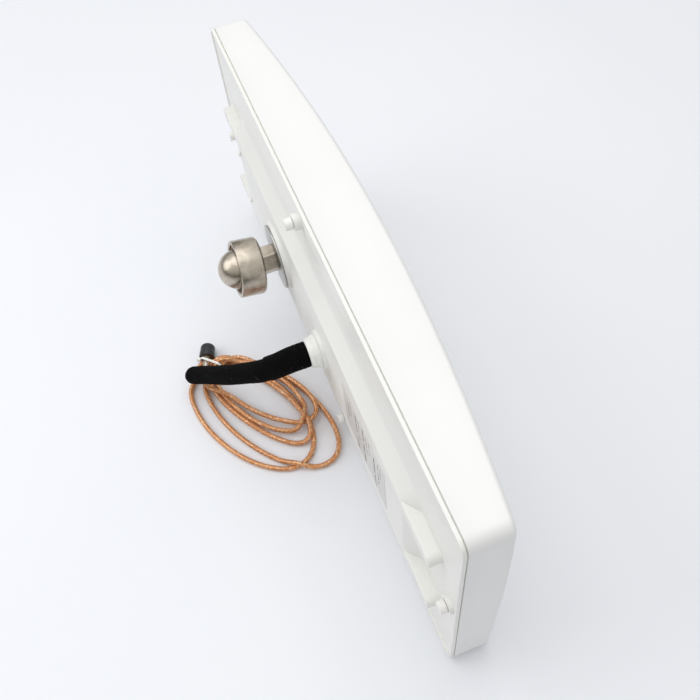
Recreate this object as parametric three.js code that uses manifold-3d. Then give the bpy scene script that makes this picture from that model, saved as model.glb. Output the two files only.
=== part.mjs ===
// Wall-mount antenna panel of a retail security gate: a flat white housing on a ball swivel,
// with a sleeved coaxial lead that is coiled and tied.
//
// Frame: millimetres, +Z up. The panel stands on its long edge. Its length runs along X, the bowed
// front faces -Y and the back, with the ball swivel and the cable, faces +Y. The origin lies on the
// floor under the middle of the panel and its swivel.
import * as THREE from 'three';
import { mergeVertices } from 'three/addons/utils/BufferGeometryUtils.js';
import Module from 'manifold-3d';

const wasm = await Module();
wasm.setup();

// ---------------------------------------------------------------- driving dimensions
const GAP = 0.3;                 // clearance between pieces that touch
const LENGTH = 570;              // housing along X
const HEIGHT = 254;              // housing along Z
const CORNER_R = 10.5;           // housing corners, seen from the front
const MID_Z = HEIGHT / 2;

// Depths are measured along Y from the seam, + towards the back.
const END_DEPTH = 32;            // cover depth at the two ends
const BOW = 21;                  // extra depth at mid length
const CROWN = 3;                 // extra depth at mid height
const FRONT_EDGE_R = 4;          // rounding between the front and the side walls
const WALL = 3;                  // moulded wall thickness
const SEAM = 0.9;                // open seam between cover and back plate
const REBATE_INSET = 1.2;        // gasket rebate in the cover's edge
const REBATE_DEPTH = 2.0;

const RIM_TOP = 3.0;             // back plate rim
const RIM_WIDTH = 3.0;
const BASE_TOP = 1.6;            // flat field inside the rim
const PLATEAU_TOP = 12.4;        // raised middle of the back plate
const PLATEAU_HALF_X = 211.8;
const PLATEAU_HALF_Z = 52.1;
const SLOPE_RUN = 12.8;          // run of the plateau's sloped sides
const FINGER_THICK = 12.5;       // four round-nosed ribs that carry on from the plateau
const FINGER_NOSE_X = 259.6;
const PAD_TOP = 16.1;            // round pads under the swivel and the gland
const TONGUE_DEPTH = 8;          // locating tongue inside the cover

const PLUG = { x: 205, z: 32, radius: 2.2, height: 2.2 };          // two drain plugs
const LABEL = { x: -134, z: -2, halfX: 45, halfZ: 31, thick: 0.3 };

const SWIVEL_X = 87.3;           // ball swivel, at mid height
const BALL_Y = 55.3;
const BALL_R = 19.05;
const WASHER_R = 31.5;
const WASHER_THICK = 1.5;
const HEX_FLATS = 24;
const STUD_R = 6;                // M12 thread
const HEX_TOP = 36;
const NECK_R = 10;               // between the hexagon and the ball
const STUD_NUT = { flats: 19, height: 10 };
const LOCK_WASHER = { radius: 10.5, thick: 2.3 };
const STIFFENER = { halfX: 45, halfZ: 40, thick: 3 };
const COLLAR_R = 27.5;
const COLLAR_BORE_R = 23.5;
const COLLAR_LIP_R = 18;
const COLLAR_LIP_THICK = 4.5;
const SEAT_THICK = 3;
const COLLAR_BACK_Y = 34.3;
const COLLAR_LENGTH = 24;
const COLLAR_TILT = 9.7;         // degrees the loose collar's mouth is tipped up about the ball

const GLAND_X = -32;
const GLAND_END_Y = 26;
const GLAND_R = 14;
const GLAND_THREAD_R = 10;
const GLAND_FLANGE = { radius: 15, thick: 3.6 };
const LOCK_NUT = { flats: 26, height: 4.5 };

const SCREW_POST_R = 4.6;        // posts inside the cover that the screws bite into
const SCREW_SHANK_R = 1.9;
const SCREW_SHANK_END = -12;
const SCREW_HEAD_R = 5;
const TALL_SCREW = { bossTop: 8.1, headTop: 15.1 };
const SHORT_SCREW = { bossTop: 5.5, headTop: 11.5 };

const PLATE_HALF = { x: 248, z: 98 };   // ground plane
const PLATE_FRONT_Y = -10;
const PATCH_SIZE = 150;
const PATCH_X = 125;
const PATCH_Y = -20;
const BOARD_HALF_X = 100;

const BOOT_R = 11.5;             // thick start of the cable sleeve
const SLEEVE_R = 9.4;
const COAX_R = 2.5;

// The lead hangs from the gland to the floor. Its places are measured from the seam and the floor.
const BOOT_ROUTE = [
  [GLAND_X, GLAND_END_Y + 2 * GAP, 127], [GLAND_X, 34, 127], [-30.2, 42, 124.2], [-27, 51, 118.5],
  [-22, 60, 111],
];
const SLEEVE_ROUTE = [
  [-21.7, 60.5, 110.6], [-17.5, 67.5, 104.7], [-5, 80, 91], [6, 90, 79], [19, 100, 66],
  [42, 116, 43], [56, 127, 29], [62, 131.5, 23], [65.5, 132.8, 17.5],
];
const LEAD_ROUTE = [[65.8, 132.9, 17], [67.2, 133.2, 14], [68, 133.2, 11], [68, 133.2, 7.9]];
const COIL_BOTTOM = 0.2;
const COIL_TURNS = [             // each turn's centre, half length, half width, direction and top
  { x: 7.9, y: 89.7, long: 81, wide: 42, angle: 26, top: 7.5 },
  { x: 2.5, y: 70.8, long: 87, wide: 40, angle: 29, top: 7.5 },
  { x: 16.7, y: 78.6, long: 70.5, wide: 23.5, angle: 29, top: 12 },
  { x: 24.9, y: 74.6, long: 61, wide: 27, angle: 29, top: 12 },
  { x: 25.8, y: 68.4, long: 62, wide: 24.6, angle: 38, top: 12 },
];
const COIL_MARGIN = COAX_R + 0.7;
const COIL_HOLE = { x: 25, y: 75, long: 47, wide: 14, angle: 32 };
const TIE = { x: 80.4, y: 111.4, angle: 45, halfWidth: 12, bottom: 0.3, top: 13.8, band: 2.5, thick: 1.2 };
const TIP = { x: 105, y: 108, z: 8.4, angle: -20 };    // tip of the dust cap

// The connector, measured along its axis from the cap's tip.
const CAP_LENGTH = 17;
const CAP_R = 8.1;
const CAP_DOME_R = 7.8;
const CAP_BORE_R = 7;
const CAP_RIM = 5.5;
const NUT_R = 6.7;
const NUT_BORE_R = 5;
const NUT_FRONT = -5.5;
const NUT_BACK = -15.8;
const SOCKET_R = 4.6;
const SOCKET_BORE_R = 2.7;
const SOCKET_FRONT = -6.5;
const SOCKET_BOTTOM = -14;
const CONTACT_R = 0.6;
const SHOULDER_R = 5;
const SHOULDER_BACK = -18.6;
const FERRULE_R = 3.4;
const FERRULE_BACK = -30;

// The housing's outermost front and the ball's tip set where the origin lies along Y.
const SEAM_Y = (END_DEPTH + BOW + CROWN - BALL_Y - BALL_R) / 2;

// ---------------------------------------------------------------- materials
const white = { color: 0xf4f4f2, roughness: 0.42, metalness: 0 };
const offWhite = { color: 0xe6e6df, roughness: 0.55, metalness: 0 };
const nickel = { color: 0xb9b2a6, roughness: 0.32, metalness: 1 };
const steel = { color: 0x9a9a98, roughness: 0.4, metalness: 1 };
const aluminium = { color: 0xc9cbce, roughness: 0.45, metalness: 1 };
const rubber = { color: 0x4a4838, roughness: 0.9, metalness: 0 };
const nylon = { color: 0xf2f1ec, roughness: 0.5, metalness: 0 };
const board = { color: 0x2e6b3c, roughness: 0.5, metalness: 0 };
const brass = { color: 0xc8a55a, roughness: 0.35, metalness: 1 };
const blackCloth = { color: 0x101012, roughness: 0.95, metalness: 0 };
const coax = { color: 0xc98a5b, roughness: 0.35, metalness: 0 };
const blackPlastic = { color: 0x26282a, roughness: 0.5, metalness: 0 };
const paper = { color: 0xefe6e0, roughness: 0.7, metalness: 0 };

// ---------------------------------------------------------------- solids and booleans
function toSolid(geometry) {
  const bare = geometry.clone();
  bare.deleteAttribute('normal');
  bare.deleteAttribute('uv');
  const welded = mergeVertices(bare, 1e-4);
  const mesh = new wasm.Mesh({
    numProp: 3,
    vertProperties: new Float32Array(welded.attributes.position.array),
    triVerts: new Uint32Array(welded.index.array),
  });
  return new wasm.Manifold(mesh);
}

function toGeometry(solid) {
  const { vertProperties, triVerts } = solid.getMesh();
  const geometry = new THREE.BufferGeometry();
  geometry.setAttribute('position', new THREE.BufferAttribute(vertProperties, 3));
  geometry.setIndex(new THREE.BufferAttribute(triVerts, 1));
  geometry.computeVertexNormals();
  return geometry;
}

function join(geometries) {
  return geometries.map(toSolid).reduce((sum, next) => sum.add(next));
}

function cut(solid, geometries) {
  return geometries.map(toSolid).reduce((rest, tool) => rest.subtract(tool), solid);
}

// A slab whose outline is a shape in X and Z, between two places along Y.
function slab(shape, y0, y1, curveSegments = 4) {
  const options = { depth: y1 - y0, bevelEnabled: false, curveSegments };
  return new THREE.ExtrudeGeometry(shape, options).rotateX(Math.PI / 2).translate(0, y1, 0);
}

function roundedRectangle(halfX, halfZ, radius) {
  const shape = new THREE.Shape();
  shape.moveTo(-halfX + radius, -halfZ);
  shape.lineTo(halfX - radius, -halfZ);
  shape.absarc(halfX - radius, -halfZ + radius, radius, -Math.PI / 2, 0);
  shape.lineTo(halfX, halfZ - radius);
  shape.absarc(halfX - radius, halfZ - radius, radius, 0, Math.PI / 2);
  shape.lineTo(-halfX + radius, halfZ);
  shape.absarc(-halfX + radius, halfZ - radius, radius, Math.PI / 2, Math.PI);
  shape.lineTo(-halfX, -halfZ + radius);
  shape.absarc(-halfX + radius, -halfZ + radius, radius, Math.PI, 1.5 * Math.PI);
  return shape;
}

function housingOutline(inset) {
  return roundedRectangle(LENGTH / 2 - inset, HEIGHT / 2 - inset, CORNER_R - inset);
}

// A turned piece: its profile gives [radius, place along Y] from the axis back to the axis.
function turned(profile, segments = 24) {
  const points = profile.map(([radius, y]) => new THREE.Vector2(radius, y));
  return new THREE.LatheGeometry(points, segments);
}

// A turned piece with a hole: its profile is closed.
function ring(profile, segments = 24) {
  return turned([...profile, profile[0]], segments);
}

function rod(radius, y0, y1, segments = 12) {
  return turned([[0, y0], [radius, y0], [radius, y1], [0, y1]], segments);
}

function tube(innerR, outerR, y0, y1, segments = 24) {
  return ring([[innerR, y0], [outerR, y0], [outerR, y1], [innerR, y1]], segments);
}

function hexPrism(flats, y0, y1) {
  const corner = flats / Math.sqrt(3);
  const shape = new THREE.Shape();
  for (let side = 0; side < 6; side += 1) {
    const angle = (side * Math.PI) / 3;
    const step = side === 0 ? 'moveTo' : 'lineTo';
    shape[step](corner * Math.cos(angle), corner * Math.sin(angle));
  }
  return slab(shape, y0, y1);
}

// ---------------------------------------------------------------- scene helpers
const part = new THREE.Group();
const panel = new THREE.Group();       // origin at the seam, mid height
panel.position.set(0, SEAM_Y, MID_Z);
part.add(panel);

function add(group, name, geometry, material) {
  const mesh = new THREE.Mesh(geometry, new THREE.MeshStandardMaterial(material));
  mesh.name = name;
  group.add(mesh);
  return mesh;
}

// ---------------------------------------------------------------- bowed front cover
function coverDepth(x, z) {
  const alongX = 1 - (x / (LENGTH / 2)) ** 2;
  const alongZ = 1 - (z / (HEIGHT / 2)) ** 2;
  return END_DEPTH + BOW * alongX + CROWN * alongZ;
}

// Points round a rounded rectangle, the same number at every inset, as [x, z].
function outlinePoints(inset) {
  const radius = CORNER_R - inset;
  const farX = LENGTH / 2 - CORNER_R;
  const farZ = HEIGHT / 2 - CORNER_R;
  const cornerSteps = 4;
  const straight = { x: 12, z: 4 };
  const corners = [[1, 1, 0], [-1, 1, 1], [-1, -1, 2], [1, -1, 3]];
  const points = [];
  corners.forEach(([signX, signZ, quarter], index) => {
    for (let step = 0; step <= cornerSteps; step += 1) {
      const angle = (quarter + step / cornerSteps) * (Math.PI / 2);
      const x = signX * farX + radius * Math.cos(angle);
      const z = signZ * farZ + radius * Math.sin(angle);
      points.push([x, z]);
    }
    const [nextX, nextZ, nextQuarter] = corners[(index + 1) % 4];
    const angle = nextQuarter * (Math.PI / 2);
    const end = [nextX * farX + radius * Math.cos(angle), nextZ * farZ + radius * Math.sin(angle)];
    const start = points[points.length - 1];
    const count = nextX === signX ? straight.z : straight.x;
    for (let step = 1; step < count; step += 1) {
      const t = step / count;
      points.push([start[0] + (end[0] - start[0]) * t, start[1] + (end[1] - start[1]) * t]);
    }
  });
  return points;
}

// Joins rings of points into a closed surface. The first ring gets a flat cap, and the last one
// has already closed on itself along a line.
function surfaceFromRings(rings) {
  const positions = [];
  const same = (a, b) => a.distanceTo(b) < 1e-5;
  const triangle = (a, b, c) => {
    if (same(a, b) || same(b, c) || same(c, a)) return;
    positions.push(...a.toArray(), ...c.toArray(), ...b.toArray());
  };
  const first = rings[0];
  const centre = new THREE.Vector3(0, first[0].y, 0);
  first.forEach((point, index) => triangle(centre, point, first[(index + 1) % first.length]));
  for (let row = 0; row + 1 < rings.length; row += 1) {
    const here = rings[row];
    const next = rings[row + 1];
    here.forEach((point, index) => {
      const after = (index + 1) % here.length;
      triangle(point, next[index], next[after]);
      triangle(point, next[after], here[after]);
    });
  }
  const geometry = new THREE.BufferGeometry();
  geometry.setAttribute('position', new THREE.Float32BufferAttribute(positions, 3));
  return geometry;
}

function bowedBody(inset, openY) {
  const round = FRONT_EDGE_R;
  const rings = [];
  const addRing = (points, yAt) => {
    rings.push(points.map(([x, z]) => new THREE.Vector3(x, yAt(x, z), z)));
  };
  const depth = (x, z) => coverDepth(x, z) - inset;
  addRing(outlinePoints(inset), () => openY);
  for (let step = 0; step <= 3; step += 1) {
    const angle = (step / 3) * (Math.PI / 2);
    const drop = round * (1 - Math.sin(angle));
    addRing(outlinePoints(inset + round * (1 - Math.cos(angle))), (x, z) => drop - depth(x, z));
  }
  const edge = outlinePoints(inset + round);
  const spine = (LENGTH - HEIGHT) / 2;
  for (let step = 1; step <= 3; step += 1) {
    const t = step / 3;
    const points = edge.map(([x, z]) => {
      const spineX = THREE.MathUtils.clamp(x, -spine, spine);
      return [x + (spineX - x) * t, z * (1 - t)];
    });
    addRing(points, (x, z) => -depth(x, z));
  }
  return surfaceFromRings(rings);
}

const screwSites = [
  { ...TALL_SCREW, name: 'top_cover_screw', x: 16, z: 110 },
  { ...SHORT_SCREW, name: 'bottom_cover_screw', x: -42, z: -110 },
  { ...SHORT_SCREW, name: 'near_cover_screw', x: -274.4, z: 0 },
  { ...SHORT_SCREW, name: 'far_cover_screw', x: 274.4, z: 0 },
];

function frontCover() {
  const shell = cut(toSolid(bowedBody(0, -SEAM)), [
    bowedBody(WALL, 1),
    slab(housingOutline(REBATE_INSET), -REBATE_DEPTH, 1),
  ]);
  let cover = shell;
  for (const site of screwSites) {
    const bottom = -coverDepth(site.x, site.z) + WALL / 2;
    cover = cover.add(toSolid(rod(SCREW_POST_R, bottom, -BASE_TOP - GAP).translate(site.x, 0, site.z)));
    const hole = rod(SCREW_SHANK_R + GAP, SCREW_SHANK_END - 2, 0).translate(site.x, 0, site.z);
    cover = cover.subtract(toSolid(hole));
  }
  return toGeometry(cover);
}
add(panel, 'front_cover', frontCover(), white);

// ---------------------------------------------------------------- back plate
// A low block with sloped sides: a larger outline at its foot than at its top.
function slopedBlock(half, yFoot, yTop, run) {
  const top = roundedRectangle(half.x, half.z, half.radius).getPoints(4);
  const foot = roundedRectangle(half.x + run, half.z + run, half.radius + run).getPoints(4);
  const positions = [];
  const place = (point, y) => [point.x, y, point.y];
  const centreTop = [0, yTop, 0];
  const centreFoot = [0, yFoot, 0];
  top.forEach((_, index) => {
    const next = (index + 1) % top.length;
    if (top[index].distanceTo(top[next]) < 1e-6) return;
    const [a, b] = [place(foot[index], yFoot), place(foot[next], yFoot)];
    const [c, d] = [place(top[next], yTop), place(top[index], yTop)];
    positions.push(...a, ...c, ...b, ...a, ...d, ...c);
    positions.push(...centreTop, ...c, ...d, ...centreFoot, ...a, ...b);
  });
  const geometry = new THREE.BufferGeometry();
  geometry.setAttribute('position', new THREE.Float32BufferAttribute(positions, 3));
  return geometry;
}

function fingerShape(thick, noseX) {
  const radius = thick / 2;
  const shape = new THREE.Shape();
  shape.moveTo(PLATEAU_HALF_X - SLOPE_RUN, -radius);
  shape.lineTo(noseX - radius, -radius);
  shape.absarc(noseX - radius, 0, radius, -Math.PI / 2, Math.PI / 2);
  shape.lineTo(PLATEAU_HALF_X - SLOPE_RUN, radius);
  return shape;
}

function fingers(thick, noseX, y0, y1) {
  const offset = PLATEAU_HALF_Z - FINGER_THICK / 2;
  const list = [];
  for (const turn of [0, Math.PI]) {
    for (const side of [-1, 1]) {
      const finger = slab(fingerShape(thick, noseX), y0, y1, 8);
      list.push(finger.translate(0, 0, side * offset).rotateY(turn));
    }
  }
  return list;
}

function backPlate() {
  const inner = BASE_TOP - WALL;
  const fingerWall = 2.5;
  const plateau = { x: PLATEAU_HALF_X, z: PLATEAU_HALF_Z, radius: 4 };
  const hollow = { x: PLATEAU_HALF_X - 2, z: PLATEAU_HALF_Z - 2, radius: 2.5 };
  const rim = cut(toSolid(slab(housingOutline(0), 0, RIM_TOP)), [
    slab(housingOutline(RIM_WIDTH), BASE_TOP, RIM_TOP + 1),
  ]);
  const tongue = cut(toSolid(slab(housingOutline(WALL + GAP), -TONGUE_DEPTH, 0.5)), [
    slab(housingOutline(WALL + GAP + 2), -TONGUE_DEPTH - 1, 1),
  ]);
  const field = join([
    slab(housingOutline(WALL + GAP), inner, BASE_TOP),
    slopedBlock(plateau, BASE_TOP - 0.5, PLATEAU_TOP, SLOPE_RUN),
    ...fingers(FINGER_THICK, FINGER_NOSE_X, BASE_TOP - 0.5, PLATEAU_TOP),
  ]);
  let plate = rim.add(tongue).add(field);
  plate = cut(plate, [
    slopedBlock(hollow, inner - 1, PLATEAU_TOP - WALL, SLOPE_RUN - 2),
    ...fingers(FINGER_THICK - 2 * fingerWall, FINGER_NOSE_X - fingerWall, inner - 1, PLATEAU_TOP - WALL),
  ]);
  const pads = [
    rod(WASHER_R + 1.5, PLATEAU_TOP - WALL, PAD_TOP, 32).translate(SWIVEL_X, 0, 0),
    rod(GLAND_R + 4, PLATEAU_TOP - WALL, PAD_TOP, 24).translate(GLAND_X, 0, 0),
    ...screwSites.map(({ x, z, bossTop }) => rod(7, BASE_TOP - 1, bossTop, 16).translate(x, 0, z)),
  ];
  plate = plate.add(join(pads));
  return toGeometry(cut(plate, [
    rod(STUD_R + GAP, 0, PAD_TOP + 1, 16).translate(SWIVEL_X, 0, 0),
    rod(GLAND_THREAD_R + GAP, 0, PAD_TOP + 1, 20).translate(GLAND_X, 0, 0),
    ...screwSites.map(({ x, z, bossTop }) => (
      rod(SCREW_SHANK_R + GAP, inner - 1, bossTop + 1).translate(x, 0, z))),
  ]));
}
add(panel, 'back_plate', backPlate(), offWhite);

function gasket() {
  const lining = cut(toSolid(slab(housingOutline(REBATE_INSET + GAP), -REBATE_DEPTH + GAP, -GAP)), [
    slab(housingOutline(WALL - GAP), -REBATE_DEPTH - 1, 1),
  ]);
  return toGeometry(lining);
}
add(panel, 'seam_gasket', gasket(), rubber);

function coverScrew({ x, z, bossTop, headTop }) {
  const body = toSolid(turned([
    [0, SCREW_SHANK_END], [SCREW_SHANK_R, SCREW_SHANK_END], [SCREW_SHANK_R, bossTop + GAP],
    [SCREW_HEAD_R, bossTop + GAP], [SCREW_HEAD_R, headTop - 0.8], [SCREW_HEAD_R - 0.8, headTop],
    [0, headTop],
  ], 16));
  const slot = new THREE.BoxGeometry(2 * SCREW_HEAD_R + 2, 1.6, 1.2).translate(0, headTop, 0);
  return toGeometry(body.subtract(toSolid(slot))).translate(x, 0, z);
}
for (const site of screwSites) {
  add(panel, site.name, coverScrew(site), nylon);
}

for (const [name, side] of [['upper_drain_plug', 1], ['lower_drain_plug', -1]]) {
  const plug = rod(PLUG.radius, PLATEAU_TOP + GAP, PLATEAU_TOP + PLUG.height, 10);
  add(panel, name, plug.translate(PLUG.x, 0, side * PLUG.z), white);
}

const LABEL_LIFT = 0.05;
const labelShape = roundedRectangle(LABEL.halfX, LABEL.halfZ, 2);
const label = slab(labelShape, PLATEAU_TOP + LABEL_LIFT, PLATEAU_TOP + LABEL_LIFT + LABEL.thick, 3);
add(panel, 'rating_label', label.translate(LABEL.x, 0, LABEL.z), paper);

// ---------------------------------------------------------------- antenna inside the housing
function groundPlane() {
  const sheet = toSolid(slab(
    roundedRectangle(PLATE_HALF.x, PLATE_HALF.z, 6), PLATE_FRONT_Y, PLATE_FRONT_Y + 1.6,
  ));
  const hole = rod(COAX_R + 1.5, PLATE_FRONT_Y - 1, PLATE_FRONT_Y + 3).translate(GLAND_X, 0, 0);
  return toGeometry(sheet.subtract(toSolid(hole)));
}
add(panel, 'ground_plane', groundPlane(), aluminium);

const innerBack = BASE_TOP - WALL - GAP;
let spacerNumber = 0;
for (const x of [-235, 235]) {
  for (const z of [-85, 85]) {
    spacerNumber += 1;
    const spacer = rod(4, PLATE_FRONT_Y + 1.6 + GAP, innerBack, 10).translate(x, 0, z);
    add(panel, `ground_plane_spacer_${spacerNumber}`, spacer, nylon);
  }
}

const boardFront = PLATE_FRONT_Y - GAP - 1.6;
const boardShape = roundedRectangle(BOARD_HALF_X, 12, 2);
add(panel, 'feed_board', slab(boardShape, boardFront, boardFront + 1.6, 3), board);

for (const [name, side] of [['near', -1], ['far', 1]]) {
  const patch = slab(roundedRectangle(PATCH_SIZE / 2, PATCH_SIZE / 2, 4), PATCH_Y - 1.2, PATCH_Y);
  add(panel, `${name}_patch`, patch.translate(side * PATCH_X, 0, 0), aluminium);
  const post = rod(4, PATCH_Y + GAP, PLATE_FRONT_Y - GAP, 10);
  add(panel, `${name}_patch_post`, post.translate(side * PATCH_X, 0, 0), nylon);
  const pin = rod(1.2, PATCH_Y + GAP, boardFront - GAP, 8);
  add(panel, `${name}_feed_pin`, pin.translate(side * (BOARD_HALF_X - 20), 0, 0), brass);
}

const pigtail = rod(COAX_R, PLATE_FRONT_Y, 1.4, 10).translate(GLAND_X, 0, 0);
add(panel, 'inner_pigtail', pigtail, coax);

// ---------------------------------------------------------------- ball swivel
const swivel = new THREE.Group();
swivel.position.set(SWIVEL_X, 0, 0);
panel.add(swivel);

const ceiling = PLATEAU_TOP - WALL - GAP;      // inner face of the plateau, less the clearance
const stiffenerShape = roundedRectangle(STIFFENER.halfX, STIFFENER.halfZ, 4);
const stiffener = cut(toSolid(slab(stiffenerShape, ceiling - STIFFENER.thick, ceiling)), [
  rod(STUD_R + GAP, 0, ceiling + 1, 16),
]);
add(swivel, 'stiffener_plate', toGeometry(stiffener), steel);

const lockTop = ceiling - STIFFENER.thick - GAP;
const lockWasher = tube(STUD_R + GAP, LOCK_WASHER.radius, lockTop - LOCK_WASHER.thick, lockTop);
add(swivel, 'lock_washer', lockWasher, steel);

const nutTop = lockTop - LOCK_WASHER.thick - GAP;
const studNut = cut(toSolid(hexPrism(STUD_NUT.flats, nutTop - STUD_NUT.height, nutTop)), [
  rod(STUD_R + GAP, nutTop - STUD_NUT.height - 1, nutTop + 1, 16),
]);
add(swivel, 'stud_nut', toGeometry(studNut), steel);

const washerBottom = PAD_TOP + GAP;
const washerTop = washerBottom + WASHER_THICK;
const washer = ring([
  [STUD_R + GAP, washerBottom], [WASHER_R, washerBottom], [WASHER_R, washerTop - 0.5],
  [WASHER_R - 0.5, washerTop], [STUD_R + GAP, washerTop],
], 32);
add(swivel, 'mount_washer', washer, steel);

function ballStud() {
  const profile = [[0, nutTop - STUD_NUT.height - 0.8], [STUD_R - 1, nutTop - STUD_NUT.height - 0.8]];
  profile.push([STUD_R, nutTop - STUD_NUT.height + 0.2], [STUD_R, washerTop + 1]);
  profile.push([NECK_R, washerTop + 1]);
  const start = Math.asin(NECK_R / BALL_R);
  const steps = 12;
  for (let step = 0; step < steps; step += 1) {
    const angle = start + ((Math.PI - start) * step) / steps;
    profile.push([BALL_R * Math.sin(angle), BALL_Y - BALL_R * Math.cos(angle)]);
  }
  profile.push([0, BALL_Y + BALL_R]);
  const body = toSolid(turned(profile, 32));
  const chamfered = toSolid(hexPrism(HEX_FLATS, washerTop + GAP, HEX_TOP)).intersect(toSolid(turned([
    [0, washerTop], [13.2, washerTop], [14.2, washerTop + 1.4], [14.2, HEX_TOP - 1.4],
    [13.0, HEX_TOP + 0.1], [0, HEX_TOP + 0.1],
  ], 32)));
  return toGeometry(body.add(chamfered));
}
add(swivel, 'ball_stud', ballStud(), nickel);

const collarGroup = new THREE.Group();
collarGroup.position.y = BALL_Y;
collarGroup.rotation.x = THREE.MathUtils.degToRad(COLLAR_TILT);
swivel.add(collarGroup);
const collarBack = COLLAR_BACK_Y - BALL_Y;     // from the centre of the ball
const collarFront = collarBack + COLLAR_LENGTH;
const lipTop = collarBack + COLLAR_LIP_THICK;
const collar = ring([
  [COLLAR_LIP_R, collarBack], [COLLAR_R - 1.5, collarBack], [COLLAR_R, collarBack + 2],
  [COLLAR_R, collarFront - 1], [COLLAR_R - 1, collarFront], [COLLAR_BORE_R, collarFront],
  [COLLAR_BORE_R, lipTop], [COLLAR_LIP_R, lipTop],
], 40);
add(collarGroup, 'retaining_collar', collar, nickel);
const seat = tube(COLLAR_LIP_R + 0.6, COLLAR_BORE_R - GAP, lipTop + GAP, lipTop + GAP + SEAT_THICK, 32);
add(collarGroup, 'seat_ring', seat, nylon);

// ---------------------------------------------------------------- cable gland
const gland = new THREE.Group();
gland.position.set(GLAND_X, 0, 0);
panel.add(gland);

const cableBoreR = COAX_R + 0.5;
const glandFoot = PAD_TOP + GAP;
const glandBody = ring([
  [cableBoreR, 2], [GLAND_THREAD_R, 2], [GLAND_THREAD_R, glandFoot],
  [GLAND_FLANGE.radius, glandFoot], [GLAND_FLANGE.radius, glandFoot + GLAND_FLANGE.thick],
  [GLAND_R, glandFoot + GLAND_FLANGE.thick], [GLAND_R, GLAND_END_Y - 3],
  [GLAND_R - 1.6, GLAND_END_Y], [cableBoreR, GLAND_END_Y],
], 24);
add(gland, 'cable_gland', glandBody, white);

const lockNut = cut(toSolid(hexPrism(LOCK_NUT.flats, ceiling - LOCK_NUT.height, ceiling)), [
  rod(GLAND_THREAD_R + GAP, 0, ceiling + 1, 20),
]);
add(gland, 'gland_lock_nut', toGeometry(lockNut), white);

// ---------------------------------------------------------------- sleeve, coil and tie
const lead = new THREE.Group();        // origin at the seam, on the floor
lead.position.set(0, SEAM_Y, 0);
part.add(lead);

// A round cord along a route.
function cord(route, radius, steps, sides = 12) {
  const curve = new THREE.CatmullRomCurve3(route.map((point) => new THREE.Vector3(...point)));
  const section = new THREE.Shape();
  for (let side = 0; side < sides; side += 1) {
    const angle = (side / sides) * 2 * Math.PI;
    const step = side === 0 ? 'moveTo' : 'lineTo';
    section[step](radius * Math.cos(angle), radius * Math.sin(angle));
  }
  return new THREE.ExtrudeGeometry(section, { steps, extrudePath: curve, bevelEnabled: false });
}

add(lead, 'sleeve_boot', cord(BOOT_ROUTE, BOOT_R, 8), blackCloth);
add(lead, 'cable_sleeve', cord(SLEEVE_ROUTE, SLEEVE_R, 16), blackCloth);
add(lead, 'coax_lead', cord(LEAD_ROUTE, COAX_R, 4, 8), coax);

// The connector's own frame: its axis is X and the tip of its dust cap is the origin.
const connector = new THREE.Group();
connector.position.set(TIP.x, TIP.y, TIP.z);
connector.rotation.z = (TIP.angle * Math.PI) / 180;
lead.add(connector);
connector.updateMatrix();

// Turns a piece made along Y so that it lies along X.
function along(geometry) {
  return geometry.rotateZ(-Math.PI / 2);
}

// One turn of the coil as a filled oval slab.
function ovalSlab({ x, y, long, wide, angle }, margin, z0, z1) {
  const turn = (angle * Math.PI) / 180;
  const shape = new THREE.Shape();
  shape.absellipse(x, y, long + margin, wide + margin, 0, 2 * Math.PI, false, turn);
  const options = { depth: z1 - z0, bevelEnabled: false, curveSegments: 16 };
  return new THREE.ExtrudeGeometry(shape, options).translate(0, 0, z0);
}

// The tie stands across the bundle as a closed band.
function tieBand(clearance) {
  const middleZ = (TIE.top + TIE.bottom) / 2;
  const halfZ = (TIE.top - TIE.bottom) / 2;
  const outer = { x: TIE.halfWidth + TIE.thick + clearance, z: halfZ + clearance };
  const inner = { x: TIE.halfWidth - clearance, z: halfZ - TIE.thick - clearance };
  const halfBand = TIE.band / 2 + clearance;
  const band = cut(toSolid(slab(roundedRectangle(outer.x, outer.z, 5), -halfBand, halfBand)), [
    slab(roundedRectangle(inner.x, inner.z, 3.8), -halfBand - 1, halfBand + 1),
  ]);
  return toGeometry(band).rotateZ((TIE.angle * Math.PI) / 180).translate(TIE.x, TIE.y, middleZ);
}

// The coil is the outer shape of all its turns, with room for the tie and the connector.
function coil() {
  const turns = COIL_TURNS.map((turn) => ovalSlab(turn, COIL_MARGIN, COIL_BOTTOM, turn.top));
  const hole = ovalSlab(COIL_HOLE, 0, COIL_BOTTOM - 1, 20);
  const socket = along(turned([
    [0, FERRULE_BACK - GAP], [FERRULE_R + GAP, FERRULE_BACK - GAP], [FERRULE_R + GAP, SHOULDER_BACK - GAP],
    [CAP_R + GAP, SHOULDER_BACK - GAP], [CAP_R + GAP, 1], [0, 1],
  ], 20)).applyMatrix4(connector.matrix);
  return toGeometry(cut(join(turns), [hole, tieBand(GAP), socket]));
}
add(lead, 'coax_coil', coil(), coax);
add(lead, 'cable_tie', tieBand(0), nylon);

// ---------------------------------------------------------------- capped connector
function dustCap() {
  const profile = [
    [CAP_BORE_R, -CAP_LENGTH], [CAP_R, -CAP_LENGTH], [CAP_R, CAP_RIM - CAP_LENGTH],
    [CAP_DOME_R, CAP_RIM - CAP_LENGTH + 0.5],
  ];
  const domeHeight = 5.5;
  for (let step = 0; step < 5; step += 1) {
    const angle = (step / 5) * (Math.PI / 2);
    profile.push([CAP_DOME_R * Math.cos(angle), domeHeight * (Math.sin(angle) - 1)]);
  }
  profile.push([0, 0], [0, -3.4], [CAP_BORE_R - 1, -3.6], [CAP_BORE_R, -4.8]);
  return turned([...profile, profile[0]], 20);
}
add(connector, 'dust_cap', along(dustCap()), blackPlastic);

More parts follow.
